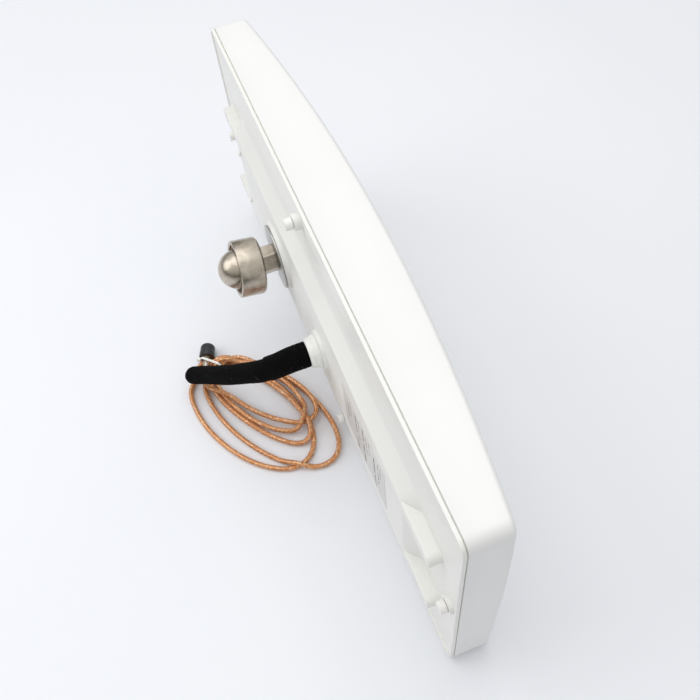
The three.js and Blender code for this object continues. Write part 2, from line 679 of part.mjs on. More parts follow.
const couplingNut = tube(NUT_BORE_R, NUT_R, NUT_BACK, NUT_FRONT, 20);
add(connector, 'coupling_nut', along(couplingNut), nickel);

const connectorBody = turned([
  [0, FERRULE_BACK], [FERRULE_R, FERRULE_BACK], [FERRULE_R, SHOULDER_BACK],
  [SHOULDER_R, SHOULDER_BACK], [SHOULDER_R, NUT_BACK - GAP], [SOCKET_R, NUT_BACK - GAP],
  [SOCKET_R, SOCKET_FRONT], [SOCKET_BORE_R, SOCKET_FRONT], [SOCKET_BORE_R, SOCKET_BOTTOM],
  [0, SOCKET_BOTTOM],
], 20);
add(connector, 'connector_body', along(connectorBody), nickel);

const insulator = tube(CONTACT_R + GAP, SOCKET_BORE_R - GAP, SOCKET_BOTTOM + GAP, SOCKET_FRONT - 2, 12);
add(connector, 'connector_insulator', along(insulator), nylon);
const contact = rod(CONTACT_R, SOCKET_BOTTOM + GAP, SOCKET_FRONT - 0.5, 8);
add(connector, 'centre_contact', along(contact), brass);

export default part;
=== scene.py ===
"""The looks of the gate antenna panel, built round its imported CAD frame.

Lengths in this script are millimetres, and the small functions below turn them into the frame's metres.
A place on the panel is (x, y, z): x along its length from the middle, y from the seam towards the back,
and z up from mid height. A place on the lead is (x, y, z) with z from the floor instead.
"""
import math

import bmesh
import bpy
import numpy as np
from mathutils import Matrix, Vector


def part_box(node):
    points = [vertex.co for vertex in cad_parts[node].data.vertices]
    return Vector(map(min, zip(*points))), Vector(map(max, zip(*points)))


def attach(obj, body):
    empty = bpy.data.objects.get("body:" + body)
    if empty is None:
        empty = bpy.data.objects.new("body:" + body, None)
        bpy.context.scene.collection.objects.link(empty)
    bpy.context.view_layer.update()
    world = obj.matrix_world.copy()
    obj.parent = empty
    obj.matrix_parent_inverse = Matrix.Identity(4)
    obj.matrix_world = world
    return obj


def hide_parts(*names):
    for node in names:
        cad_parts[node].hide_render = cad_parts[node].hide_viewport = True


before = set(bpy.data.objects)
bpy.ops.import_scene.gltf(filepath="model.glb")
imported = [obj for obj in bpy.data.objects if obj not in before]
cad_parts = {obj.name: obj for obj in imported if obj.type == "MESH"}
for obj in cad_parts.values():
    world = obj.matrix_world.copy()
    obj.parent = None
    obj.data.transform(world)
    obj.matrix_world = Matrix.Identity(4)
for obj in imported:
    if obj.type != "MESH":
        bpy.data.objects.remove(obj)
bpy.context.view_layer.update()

# ---------------- driving dimensions
MM = 0.001
SEAM = 0.9          # open seam between cover and back plate
seam_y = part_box("front_cover")[1][1] + SEAM * MM
mid_z = (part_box("front_cover")[0][2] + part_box("front_cover")[1][2]) / 2

LENGTH = 570
HEIGHT = 254
CORNER_R = 10.5
END_DEPTH = 32
BOW = 21
CROWN = 3
FRONT_EDGE_R = 4
WALL = 3

RIM_TOP = 3.0
RIM_WIDTH = 3.0
BASE_TOP = 1.6
PLATEAU_TOP = 12.4
PLATEAU_HALF_X = 211.8
PLATEAU_HALF_Z = 52.1
SLOPE_RUN = 12.8
FINGER_THICK = 12.5
FINGER_NOSE_X = 259.6
PAD_TOP = 16.1
TONGUE_DEPTH = 8

SWIVEL_X = 87.3
BALL_Y = 55.3
BALL_R = 19.05
WASHER_R = 31.5
WASHER_THICK = 1.5
WASHER_TOP = 17.9
HEX_FLATS = 24
HEX_TOP = 36
NECK_R = 10
STUD_R = 6
STUD_END = -8.9
COLLAR_R = 27.5
COLLAR_BORE_R = 23.5
COLLAR_LIP_R = 18
COLLAR_LIP = 4.5
COLLAR_BACK = -21
COLLAR_LENGTH = 24
COLLAR_TILT = 9.7

GLAND_X = -32
GLAND_END_Y = 26
GLAND_R = 14
LABEL = {"x": -134, "z": -2, "half_x": 45, "half_z": 31}
# Each row runs up and down the label: its place along the panel, where it starts and ends in height,
# and how wide its bars are.
PRINT_ROWS = [
    (-100, 20, -6, 1.2), (-106, 24, 2, 1.2), (-118, 24, -30, 2.4), (-124, 24, -10, 1.2), (-134, 25, -30, 2.4),
    (-141, 24, -4, 1.2), (-147, 24, 4, 1.2), (-157, 18, -28, 2.4), (-165, 22, -12, 1.2), (-170, 22, 6, 1.2),
]
# Place along and up the panel, top of the boss and top of the head.
SCREWS = {
    "top_cover_screw": (16, 110, 8.1, 15.1),
    "bottom_cover_screw": (-42, -110, 5.5, 11.5),
    "near_cover_screw": (-274.4, 0, 5.5, 11.5),
    "far_cover_screw": (274.4, 0, 5.5, 11.5),
}

BOOT_R = 11.5
SLEEVE_R = 9.4
COAX_R = 2.5
GAP = 0.3
BOOT_ROUTE = [
    (-32, 26.6, 127), (-32, 34, 127), (-30.2, 42, 124.2), (-27, 51, 118.5), (-22, 60, 111),
]
SLEEVE_ROUTE = [
    (-21.7, 60.5, 110.6), (-17.5, 67.5, 104.7), (-5, 80, 91), (6, 90, 79), (19, 100, 66),
    (42, 116, 43), (56, 127, 29), (62, 131.5, 23), (65.5, 132.8, 17.5),
]
LEAD_ROUTE = [(69, 132.3, 12), (74.5, 130.2, 7.2), (81, 125.6, 4.6)]
TAIL_ROUTE = [(42, 112.3, 8), (48.2, 118.8, 8.4), (55.3, 123.4, 8.4), (63.7, 123, 8.4)]
# Each turn of the coil: centre, half length, half width and direction, then its height over most of
# its length and where the turns cross.
TURNS = [
    (7.9, 89.7, 81, 42, 26, 2.7, 2.9),
    (2.5, 70.8, 87, 40, 29, 2.9, 4.6),
    (16.7, 78.6, 70.5, 23.5, 29, 3.4, 7.6),
    (24.9, 74.6, 61, 27, 29, 5.4, 9.2),
    (25.8, 68.4, 62, 24.6, 38, 6.0, 9.5),
]
TIE = {"x": 80.4, "y": 111.4, "angle": 45, "half_width": 12, "bottom": 0.3, "top": 13.8, "thick": 1.2}
# Where each turn passes through the tie: how far across it, and how high.
TIE_PLACES = [(9.6, 4.05), (1.7, 4.05), (-3.4, 4.05), (-8.5, 4.05), (-6, 8.5)]
TIP = {"x": 105, "y": 108, "z": 8.4, "angle": -20}
FERRULE_BACK = -30
CAP_LENGTH = 17
CAP_R = 8.1
CAP_DOME_R = 7.8
CAP_BORE_R = 7
CAP_RIM = 5.5


def on_panel(x, y, z):
    return Vector((x * MM, seam_y + y * MM, mid_z + z * MM))


def on_lead(x, y, z):
    return Vector((x * MM, seam_y + y * MM, z * MM))


# ---------------- camera
def make_camera():
    """Stands above the near end of the panel and looks down along it."""
    place = Vector((-0.4173, 0.0780, 0.6831))
    heading, pitch, roll = (math.radians(a) for a in (-14.50, 55.20, -7.54))
    forward = Vector((
        math.cos(heading) * math.cos(pitch), math.sin(heading) * math.cos(pitch), -math.sin(pitch)
    ))
    level = forward.cross(Vector((0, 0, 1))).normalized()
    upright = level.cross(forward)
    right = math.cos(roll) * level + math.sin(roll) * upright
    up = -math.sin(roll) * level + math.cos(roll) * upright
    data = bpy.data.cameras.new("camera")
    data.lens = 39.97
    data.sensor_width = 36
    camera = bpy.data.objects.new("camera", data)
    rotation = Matrix((right, up, -forward)).transposed()
    camera.matrix_world = Matrix.Translation(place) @ rotation.to_4x4()
    bpy.context.collection.objects.link(camera)
    bpy.context.scene.camera = camera


make_camera()


# ---------------- materials
class Shader:
    """A Principled material whose colour, roughness and bump come from small chains of nodes."""

    def __init__(self, name, roughness=0.5, metallic=0.0, **constants):
        self.material = bpy.data.materials.new(name)
        self.material.use_nodes = True
        self.nodes = self.material.node_tree.nodes
        self.links = self.material.node_tree.links
        self.shader = self.nodes["Principled BSDF"]
        self.shader.inputs["Roughness"].default_value = roughness
        self.shader.inputs["Metallic"].default_value = metallic
        for socket, value in constants.items():
            self.shader.inputs[socket.replace("_", " ")].default_value = value
        self.place = self.nodes.new("ShaderNodeTexCoord")

    def node(self, kind, **values):
        made = self.nodes.new(kind)
        for key, value in values.items():
            if key in made.inputs:
                made.inputs[key].default_value = value
            else:
                setattr(made, key, value)
        return made

    def coordinates(self, scale=(1, 1, 1), source="Object", turn=(0, 0, 0)):
        mapping = self.node("ShaderNodeMapping")
        mapping.inputs["Rotation"].default_value = turn
        mapping.inputs["Scale"].default_value = scale
        self.links.new(self.place.outputs[source], mapping.inputs["Vector"])
        return mapping.outputs["Vector"]

    def noise(self, scale, detail=3, coordinates=None, distortion=0):
        made = self.node("ShaderNodeTexNoise", Scale=scale, Detail=detail, Distortion=distortion)
        self.links.new(coordinates or self.place.outputs["Object"], made.inputs["Vector"])
        return made.outputs["Fac"]

    def ramp(self, value, stops):
        made = self.nodes.new("ShaderNodeValToRGB")
        band = made.color_ramp
        while len(band.elements) < len(stops):
            band.elements.new(0.5)
        for element, (at, colour) in zip(band.elements, stops):
            element.position = at
            element.color = (*colour, 1)
        self.links.new(value, made.inputs["Fac"])
        return made.outputs["Color"]

    def mix(self, share, first, second):
        """Mixes two colours. Each value is a number, a colour or another node's output."""
        made = self.node("ShaderNodeMix", data_type="RGBA")
        for socket, value in ((0, share), (6, first), (7, second)):
            if isinstance(value, (int, float)):
                made.inputs[socket].default_value = value
            elif isinstance(value, tuple):
                made.inputs[socket].default_value = (*value, 1)
            else:
                self.links.new(value, made.inputs[socket])
        return made.outputs[2]

    def math(self, operation, first, second=0.0):
        made = self.node("ShaderNodeMath", operation=operation)
        for socket, value in ((0, first), (1, second)):
            if isinstance(value, (int, float)):
                made.inputs[socket].default_value = value
            else:
                self.links.new(value, made.inputs[socket])
        return made.outputs[0]

    def span(self, value, low, high):
        made = self.node("ShaderNodeMapRange")
        made.inputs["To Min"].default_value = low
        made.inputs["To Max"].default_value = high
        self.links.new(value, made.inputs["Value"])
        return made.outputs[0]

    def colour(self, output):
        self.links.new(output, self.shader.inputs["Base Color"])

    def roughness(self, output):
        self.links.new(output, self.shader.inputs["Roughness"])

    def bump(self, height, distance, strength=1.0):
        """Adds a bump, of a height in metres, on top of the bumps already there."""
        made = self.node("ShaderNodeBump", Strength=strength, Distance=distance)
        self.links.new(height, made.inputs["Height"])
        normal = self.shader.inputs["Normal"]
        if normal.links:
            self.links.new(normal.links[0].from_socket, made.inputs["Normal"])
        self.links.new(made.outputs["Normal"], normal)


def moulded(name, light, dark, roughness, grain):
    """Moulded plastic: a fine grain, faint flow clouds and a few duller smears."""
    made = Shader(name, roughness, IOR=1.5)
    clouds = made.noise(9, 4, distortion=0.4)
    made.colour(made.ramp(clouds, [(0.3, dark), (0.62, light)]))
    smears = made.noise(14, 5, made.coordinates((0.5, 1.4, 1.0)), distortion=1.2)
    made.roughness(made.span(smears, roughness - 0.08, roughness + 0.1))
    made.bump(made.noise(1800, 2), grain)
    made.bump(made.noise(60, 2), grain * 2.5)
    return made.material


def turned_metal(name, light, dark, roughness):
    """Turned and plated steel: rings left by the tool, and blotches where the plating has dulled."""
    made = Shader(name, roughness, 1.0)
    blotches = made.noise(70, 5, distortion=0.8)
    fine = made.noise(420, 3, made.coordinates((1, 60, 1)))
    tint = made.ramp(blotches, [(0.28, dark), (0.66, light)])
    made.colour(made.mix(made.span(fine, 0.0, 0.35), tint, dark))
    made.roughness(made.span(blotches, roughness - 0.07, roughness + 0.12))
    made.bump(fine, 0.00003, 0.6)
    return made.material


def plain_metal(name, light, dark, roughness):
    """Plated or bare metal with faint streaks."""
    made = Shader(name, roughness, 1.0)
    streaks = made.noise(160, 4, made.coordinates((1, 1, 9)))
    made.colour(made.ramp(streaks, [(0.3, dark), (0.7, light)]))
    made.roughness(made.span(streaks, roughness - 0.06, roughness + 0.12))
    made.bump(streaks, 0.00002)
    return made.material


def woven_sleeve():
    """Black fuzzy sleeve: fine crossing threads, a nap that catches light, and specks of lint."""
    made = Shader("woven_sleeve", 0.8, Specular_IOR_Level=0.06)
    slant = 0.78
    across = made.node("ShaderNodeTexWave", Scale=34, Distortion=2.4, Detail=2)
    along = made.node("ShaderNodeTexWave", Scale=34, Distortion=2.4, Detail=2)
    made.links.new(made.coordinates((1, 1, 1), "UV", turn=(0, 0, slant)), across.inputs["Vector"])
    made.links.new(made.coordinates((1, 1, 1), "UV", turn=(0, 0, -slant)), along.inputs["Vector"])
    weave = made.math("MULTIPLY", across.outputs["Fac"], along.outputs["Fac"])
    nap = made.noise(900, 4)
    lint = made.noise(330, 2)
    cloth = made.ramp(nap, [(0.3, (0.001, 0.001, 0.0012)), (0.75, (0.0055, 0.0055, 0.0062))])
    specks = made.ramp(lint, [(0.7, (0, 0, 0)), (0.78, (1, 1, 1))])
    made.colour(made.mix(specks, cloth, (0.07, 0.07, 0.075)))
    made.bump(weave, 0.0004)
    made.bump(nap, 0.0005)
    return made.material


def braided_coax():
    """Tan see-through jacket over a fine braid, which shows as crossing bright and dark threads, and painted
    highlight specks.
    """
    made = Shader("braided_coax", 0.36, 0.45, Coat_Weight=0.3, Coat_Roughness=0.16, Coat_IOR=1.45)
    one = made.node("ShaderNodeTexWave", Scale=1.0, Distortion=0.6, Detail=1)
    other = made.node("ShaderNodeTexWave", Scale=1.0, Distortion=0.6, Detail=1)
    # U runs once round the cable and V is the place along it in metres.
    round_it, along_it = 1.6, 300
    made.links.new(made.coordinates((round_it, along_it, 1), "UV"), one.inputs["Vector"])
    made.links.new(made.coordinates((-round_it, along_it, 1), "UV"), other.inputs["Vector"])
    one.bands_direction = "DIAGONAL"
    other.bands_direction = "DIAGONAL"
    threads = made.math("MAXIMUM", one.outputs["Fac"], other.outputs["Fac"])
    # Painted highlight: pale peach specks of painted glint, mixed into the colour in place of light caught by
    # the braid.
    painted_glints = made.noise(760, 2)
    stain = made.noise(55, 4)
    base = made.ramp(stain, [(0.3, (0.36, 0.088, 0.013)), (0.7, (0.52, 0.165, 0.034))])
    lit = made.mix(made.span(threads, 0.0, 0.45), base, (0.89, 0.45, 0.17))
    bright = made.ramp(painted_glints, [(0.5, (0, 0, 0)), (0.66, (1, 1, 1))])
    made.colour(made.mix(made.math("MULTIPLY", bright, 0.8), lit, (1.0, 0.78, 0.54)))
    made.bump(threads, 0.00012, 0.8)
    return made.material


def nylon(name, colour, roughness=0.38):
    """Natural nylon: a little light passes through it."""
    made = Shader(name, roughness, Subsurface_Weight=0.15, Subsurface_Scale=0.002)
    cloudy = made.noise(120, 3)
    darker = tuple(0.93 * c for c in colour)
    made.colour(made.ramp(cloudy, [(0.3, darker), (0.65, colour)]))
    made.roughness(made.span(made.noise(300, 3), roughness - 0.06, roughness + 0.08))
    made.bump(made.noise(1500, 2), 0.00003)
    return made.material


def soft_black(name, colour, roughness):
    """Soft black plastic or ink, hazy and unevenly dull."""
    made = Shader(name, roughness)
    haze = made.noise(260, 4)
    made.colour(made.ramp(haze, [(0.3, colour), (0.75, tuple(1.9 * c for c in colour))]))
    made.roughness(made.span(made.noise(140, 4), roughness - 0.08, roughness + 0.14))
    made.bump(made.noise(1400, 3), 0.00004)
    return made.material


def foam_rubber():
    """Pale foam strip with open cells."""
    made = Shader("foam_rubber", 0.9)
    cells = made.noise(2200, 3)
    made.colour(made.ramp(cells, [(0.3, (0.68, 0.665, 0.58)), (0.7, (0.82, 0.81, 0.74))]))
    made.bump(cells, 0.0003)
    return made.material


def coated_paper():
    """Lightly coated label paper with faint fibres."""
    made = Shader("coated_paper", 0.42, Coat_Weight=0.25, Coat_Roughness=0.3)
    fibres = made.noise(700, 4, made.coordinates((1, 1, 2.5)))
    made.colour(made.ramp(fibres, [(0.3, (0.66, 0.645, 0.625)), (0.7, (0.74, 0.725, 0.705))]))
    made.bump(fibres, 0.00002)
    return made.material


def circuit_board():
    """Green board whose glass weave shows through."""
    made = Shader("circuit_board", 0.35, Coat_Weight=0.4)
    glass = made.node("ShaderNodeTexBrick", Scale=600)
    glass.inputs["Color1"].default_value = (0.02, 0.12, 0.045, 1)
    glass.inputs["Color2"].default_value = (0.03, 0.16, 0.06, 1)
    glass.inputs["Mortar"].default_value = (0.02, 0.09, 0.04, 1)
    made.links.new(made.place.outputs["Object"], glass.inputs["Vector"])
    made.colour(glass.outputs["Color"])
    made.bump(glass.outputs["Fac"], 0.00002)
    return made.material


COVER = moulded("cover_plastic", (0.865, 0.868, 0.86), (0.842, 0.845, 0.836), 0.36, 0.00001)
BACK = moulded("back_plastic", (0.875, 0.875, 0.84), (0.842, 0.844, 0.812), 0.34, 0.000018)
FITTING = moulded("fitting_plastic", (0.88, 0.88, 0.84), (0.83, 0.835, 0.8), 0.3, 0.00001)
NICKEL = turned_metal("warm_nickel", (0.64, 0.58, 0.5), (0.4, 0.35, 0.285), 0.26)
STEEL = plain_metal("plated_steel", (0.62, 0.62, 0.6), (0.42, 0.42, 0.41), 0.34)
ALUMINIUM = plain_metal("mill_aluminium", (0.8, 0.81, 0.82), (0.66, 0.67, 0.69), 0.38)
BRASS = plain_metal("turned_brass", (0.8, 0.6, 0.28), (0.6, 0.42, 0.17), 0.3)
SLEEVE = woven_sleeve()
COAX = braided_coax()
NYLON = nylon("white_nylon", (0.9, 0.9, 0.88))
SCREW = nylon("screw_nylon", (0.93, 0.93, 0.9), 0.32)
CAP = soft_black("cap_plastic", (0.012, 0.013, 0.015), 0.34)
GASKET = foam_rubber()
PAPER = coated_paper()
BOARD = circuit_board()
INK = soft_black("grey_ink", (0.02, 0.019, 0.02), 0.5)


# ---------------- mesh helpers
TINY = 1e-4


def mesh_piece(name, points, faces, material, body="panel", slot=None, replaces=(), uvs=None, angle=35):
    """A finished piece from points in millimetres, smooth except along edges sharper than angle."""
    data = bpy.data.meshes.new(name)
    data.from_pydata([tuple(p) for p in points], [], faces)
    if uvs is not None:
        layer = data.uv_layers.new(name="UVMap")
        layer.data.foreach_set("uv", np.asarray(uvs, np.float32).ravel())
    piece = bpy.data.objects.new(name, data)
    bpy.context.collection.objects.link(piece)
    return finish_piece(piece, material, body, replaces, angle)


def finish_piece(piece, material, body, replaces, angle=35):
    """Gives a piece its material and shading, and says what it rides on and stands for."""
    data = piece.data
    data.materials.clear()
    data.materials.append(material)
    work = bmesh.new()
    work.from_mesh(data)
    bmesh.ops.recalc_face_normals(work, faces=work.faces)
    for edge in work.edges:
        if len(edge.link_faces) == 2:
            edge.smooth = edge.calc_face_angle() < math.radians(angle)
    for face in work.faces:
        face.smooth = True
    work.to_mesh(data)
    work.free()
    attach(piece, body)
    if replaces:
        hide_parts(*replaces)
    return piece


def fillet(profile, radius, steps=4, closed=True):
    """Rounds the corners of a flat outline. A third number on a point is that corner's own radius."""
    rounded = []
    count = len(profile)
    for index, corner in enumerate(profile):
        if not closed and index in (0, count - 1):
            rounded.append(tuple(corner[:2]))
            continue
        here = Vector(corner[:2])
        before = Vector(profile[index - 1][:2]) - here
        after = Vector(profile[(index + 1) % count][:2]) - here
        reach = min(corner[2] if len(corner) > 2 else radius, 0.45 * before.length, 0.45 * after.length)
        if reach < TINY:
            rounded.append(tuple(here))
            continue
        start = here + before.normalized() * reach
        end = here + after.normalized() * reach
        for step in range(steps + 1):
            t = step / steps
            rounded.append(tuple(start.lerp(here, t).lerp(here.lerp(end, t), t)))
    return rounded


def lathe_mesh(profile, segments, closed):
    """Points and faces of a profile of (radius, place along Y) turned about Y."""
    points, rings = [], []
    for radius, y in profile:
        if radius < TINY:
            rings.append([len(points)])
            points.append((0, y, 0))
            continue
        rings.append(list(range(len(points), len(points) + segments)))
        for side in range(segments):
            turn = 2 * math.pi * side / segments
            points.append((radius * math.cos(turn), y, radius * math.sin(turn)))
    faces = []
    pairs = list(zip(rings, rings[1:])) + ([(rings[-1], rings[0])] if closed else [])
    for near, far in pairs:
        for side in range(segments):
            after = (side + 1) % segments
            corners = [near[side % len(near)], near[after % len(near)], far[after % len(far)],
                       far[side % len(far)]]
            corners = list(dict.fromkeys(corners))
            if len(corners) > 2:
                faces.append(corners)
    return points, faces


def turned(name, profile, material, place, body="panel", slot=None, replaces=(), segments=96,
           closed=False, corner=0.4, turn=None, angle=35):
    """A turned piece with softened corners. place maps its own millimetres into the frame."""
    points, faces = lathe_mesh(fillet(profile, corner, closed=closed), segments, closed)
    if turn is not None:
        points = [turn @ Vector(p) for p in points]
    return mesh_piece(name, [place(*p) for p in points], faces, material, body, slot, replaces, angle=angle)


def rounded_ring(half_x, half_z, radius, corner_steps=10, straight=(1, 1)):
    """Points round a rounded rectangle, the same number whatever its size."""
    points = []
    corners = [(1, 1), (-1, 1), (-1, -1), (1, -1)]
    for index, (sign_x, sign_z) in enumerate(corners):
        for step in range(corner_steps + 1):
            turn = (index + step / corner_steps) * math.pi / 2
            points.append((
                sign_x * (half_x - radius) + radius * math.cos(turn),
                sign_z * (half_z - radius) + radius * math.sin(turn),
            ))
        next_x, next_z = corners[(index + 1) % 4]
        turn = (index + 1) * math.pi / 2
        end = (next_x * (half_x - radius) + radius * math.cos(turn),
               next_z * (half_z - radius) + radius * math.sin(turn))
        start = points[-1]
        count = straight[1] if next_x == sign_x else straight[0]
        for step in range(1, count):
            t = step / count
            points.append((start[0] + (end[0] - start[0]) * t, start[1] + (end[1] - start[1]) * t))
    return points


def loft(rings, cap_first=True, cap_last=True, wrap=False):
    """Faces between rings that have the same number of points, and flat ends."""
    count = len(rings[0])
    points = [p for ring in rings for p in ring]
    faces = []
    last = len(rings) if wrap else len(rings) - 1
    for row in range(last):
        below = row * count
        above = ((row + 1) % len(rings)) * count
        for side in range(count):
            after = (side + 1) % count
            faces.append((below + side, below + after, above + after, above + side))
    if cap_first and not wrap:
        faces.append(tuple(range(count - 1, -1, -1)))
    if cap_last and not wrap:
        faces.append(tuple(range((len(rings) - 1) * count, len(rings) * count)))
    return points, faces


def smooth_line(route, spacing=1.0):
    """Points at an even spacing along a smooth curve through a route."""
    route = [np.array(p, float) for p in route]
    ends = [2 * route[0] - route[1]] + route + [2 * route[-1] - route[-2]]
    line = []
    for a, b, c, d in zip(ends, ends[1:], ends[2:], ends[3:]):
        steps = max(2, int(np.linalg.norm(c - b) / 0.5))
        knots = [0.0]
        for start, end in ((a, b), (b, c), (c, d)):
            knots.append(knots[-1] + np.linalg.norm(end - start) ** 0.5)
        for t in np.linspace(knots[1], knots[2], steps, endpoint=False):
            p = [a, b, c, d]
            for level in range(1, 4):
                p = [
                    ((knots[i + level] - t) * p[i] + (t - knots[i]) * p[i + 1])
                    / (knots[i + level] - knots[i])
                    for i in range(4 - level)
                ]
            line.append(p[0])
    line.append(route[-1])
    line = np.array(line)
    along = np.concatenate([[0], np.cumsum(np.linalg.norm(np.diff(line, axis=0), axis=1))])
    even = np.linspace(0, along[-1], max(3, int(along[-1] / spacing) + 1))
    return np.stack([np.interp(even, along, line[:, i]) for i in range(3)], 1)


def tube(line, radius_at, sides):
    """A tube round a line: points, faces and one (round, along) pair for each face corner."""
    headings = np.gradient(line, axis=0)
    headings /= np.linalg.norm(headings, axis=1)[:, None]
    side = np.cross(headings[0], (0.3, 0.2, 0.93))
    side /= np.linalg.norm(side)
    along = np.concatenate([[0], np.cumsum(np.linalg.norm(np.diff(line, axis=0), axis=1))])
    rings = []
    for index, heading in enumerate(headings):
        side = side - heading * side.dot(heading)
        side /= np.linalg.norm(side)
        up = np.cross(heading, side)
        ring = []
        for step in range(sides):
            turn = 2 * math.pi * step / sides
            radius = radius_at(index, turn)
            ring.append(line[index] + radius * (math.cos(turn) * side + math.sin(turn) * up))
        rings.append(ring)
    points, faces = loft(rings)
    uvs = []
    for row in range(len(rings) - 1):
        for step in range(sides):
            for round_, length in ((0, 0), (1, 0), (1, 1), (0, 1)):
                uvs.append(((step + round_) / sides, along[row + length] * MM))
    uvs += [(0, 0)] * (2 * sides)
    return points, faces, uvs


# ---------------- the coaxial lead
def turn_point(turn, phase):
    """A point of one turn. Phase 0 is its end at the tie, and a whole turn is 1."""
    x, y, long, wide, angle, low, high = turn
    t = -2 * math.pi * phase
    tilt = math.radians(angle)
    u, v = long * math.cos(t), wide * math.sin(t)
    crossing_phase, crossing_width = 0.36, 0.13
    crossing = math.exp(-((phase - crossing_phase) / crossing_width) ** 2)
    z = low + (high - low) * crossing
    return np.array([x + u * math.cos(tilt) - v * math.sin(tilt),
                     y + u * math.sin(tilt) + v * math.cos(tilt), z])


def tie_point(place):
    """Where a strand passes through the tie: how far across it, and how high."""
    across, height = place
    tilt = math.radians(TIE["angle"])
    return np.array([TIE["x"] + across * math.cos(tilt), TIE["y"] + across * math.sin(tilt), height])


def connector_point(along):
    """A point on the connector's axis, measured from the tip of its cap."""
    tilt = math.radians(TIP["angle"])
    return np.array([TIP["x"] + along * math.cos(tilt), TIP["y"] + along * math.sin(tilt), TIP["z"]])


def coax_route():
    """Through the sleeve, down to the floor, round the coil and into the connector."""
    route = [*BOOT_ROUTE[:-1], *SLEEVE_ROUTE, *LEAD_ROUTE]
    leave, arrive, arrive_last = 0.085, 0.915, 0.8
    samples = 18
    for number, turn in enumerate(TURNS):
        route.append(tie_point(TIE_PLACES[number]))
        end = arrive_last if number == len(TURNS) - 1 else arrive
        for step in range(samples + 1):
            route.append(turn_point(turn, leave + (end - leave) * step / samples))
    route += TAIL_ROUTE
    route.append(connector_point(FERRULE_BACK - 4))
    route.append(connector_point(FERRULE_BACK + 3))
    return route


def settle(line, spacing):
    """Lets the loose turns push each other apart, holding what the sleeve, tie and connector hold."""
    held_at_tie, held_in_sleeve, held_at_connector = 1.3, 150, 16
    not_neighbours = 16             # strands closer than this along the cable don't push each other
    least_rise = 0.4                # a later strand counts as at least this much above an earlier one
    mostly_upward = np.array([0.55, 0.55, 1.6])
    push_share, bend_share, sweeps = 0.3, 0.06, 260
    clear = 0.05
    line = line.copy()
    count = len(line)
    along = np.arange(count) * spacing
    tie = np.array([TIE["x"], TIE["y"]])
    tilt = math.radians(TIE["angle"])
    offset = line[:, :2] - tie
    past_tie = np.abs(offset @ np.array([math.sin(tilt), -math.cos(tilt)]))
    inside = np.abs(offset @ np.array([math.cos(tilt), math.sin(tilt)])) < TIE["half_width"]
    held = (past_tie < held_at_tie) & inside
    held |= (along < held_in_sleeve) | (along > along[-1] - held_at_connector)
    low, high = np.triu_indices(count, k=int(not_neighbours / spacing))
    reach = 2 * COAX_R + clear
    for _ in range(sweeps):
        apart = line[high] - line[low]
        apart[:, 2] = np.where(np.abs(apart[:, 2]) < least_rise, least_rise, apart[:, 2])
        distance = np.linalg.norm(apart, axis=1)
        touching = distance < reach
        first, second = low[touching], high[touching]
        way = apart[touching] * mostly_upward
        way /= np.linalg.norm(way, axis=1)[:, None]
        push = way * (reach - distance[touching])[:, None] * push_share
        move = np.zeros_like(line)
        share = np.zeros(count)
        np.add.at(move, first, -push)
        np.add.at(move, second, push)
        np.add.at(share, first, 1)
        np.add.at(share, second, 1)
        move /= np.maximum(share, 1)[:, None] ** 0.5
        bend = np.zeros_like(line)
        bend[2:-2] = line[:-4] - 4 * line[1:-3] + 6 * line[2:-2] - 4 * line[3:-1] + line[4:]
        move -= bend_share * bend
        move[held] *= 0.0
        line += move
        line[:, 2] = np.maximum(line[:, 2], COAX_R + clear)
    return line


def make_coax():
    """The cable as one tube, with the line that it follows and its length in metres."""
    settle_spacing, mesh_spacing = 2.5, 1.5
    line = settle(smooth_line(coax_route(), settle_spacing), settle_spacing)
    line = smooth_line(line, mesh_spacing)
    length = float(np.linalg.norm(np.diff(line, axis=0), axis=1).sum()) * MM
    points, faces, uvs = tube(line, lambda index, turn: COAX_R, 14)
    piece = mesh_piece("coax_cable", [on_lead(*p) for p in points], faces, COAX, slot="coax_tan",
                       replaces=("coax_lead", "coax_coil"), uvs=uvs, angle=60)
    return piece, line, length


coax, coax_line, coax_length = make_coax()


def make_sleeve():
    """The woven sleeve: a double layer at the gland, a ragged step, then one layer to a gathered end."""
    line = smooth_line([*BOOT_ROUTE[:-1], *SLEEVE_ROUTE], 0.8)
    boot_end = int(np.argmin(np.linalg.norm(line - np.array(BOOT_ROUTE[-1]), axis=1)))
    last = len(line) - 1
    sides = 56
    dice = np.random.default_rng(7)
    waves = dice.uniform(0, 2 * math.pi, 4)
    fuzz = dice.normal(0, 0.11, (len(line), sides))
    gather = 10

    def radius_at(index, turn):
        ragged = boot_end + 2.2 * math.sin(2 * turn + waves[0]) + 1.4 * math.sin(5 * turn + waves[1])
        layer = 1 / (1 + math.exp((index - ragged) / 0.3))
        along = max(0.0, (index - boot_end) / (last - boot_end))
        thin = SLEEVE_R + 0.9 * (1 - along) ** 1.5 - 0.4 * along
        thick = BOOT_R - 0.15 * index / boot_end
        radius = thin + (thick - thin) * layer
        lumps = 0.14 * math.sin(3 * turn + index * 0.05 + waves[2]) + 0.12 * math.sin(index * 0.09 + waves[3])
        radius += lumps + fuzz[index, int(turn / (2 * math.pi) * sides + 0.5) % sides]
        left = last - index
        if left < gather:
            radius = COAX_R + 0.3 + (radius - COAX_R - 0.3) * math.sqrt(1 - (1 - left / gather) ** 2)
        return radius

    points, faces, uvs = tube(line, radius_at, sides)
    return mesh_piece("woven_sleeve", [on_lead(*p) for p in points], faces, SLEEVE, slot="sleeve_black",
                      replaces=("sleeve_boot", "cable_sleeve"), uvs=uvs, angle=70)


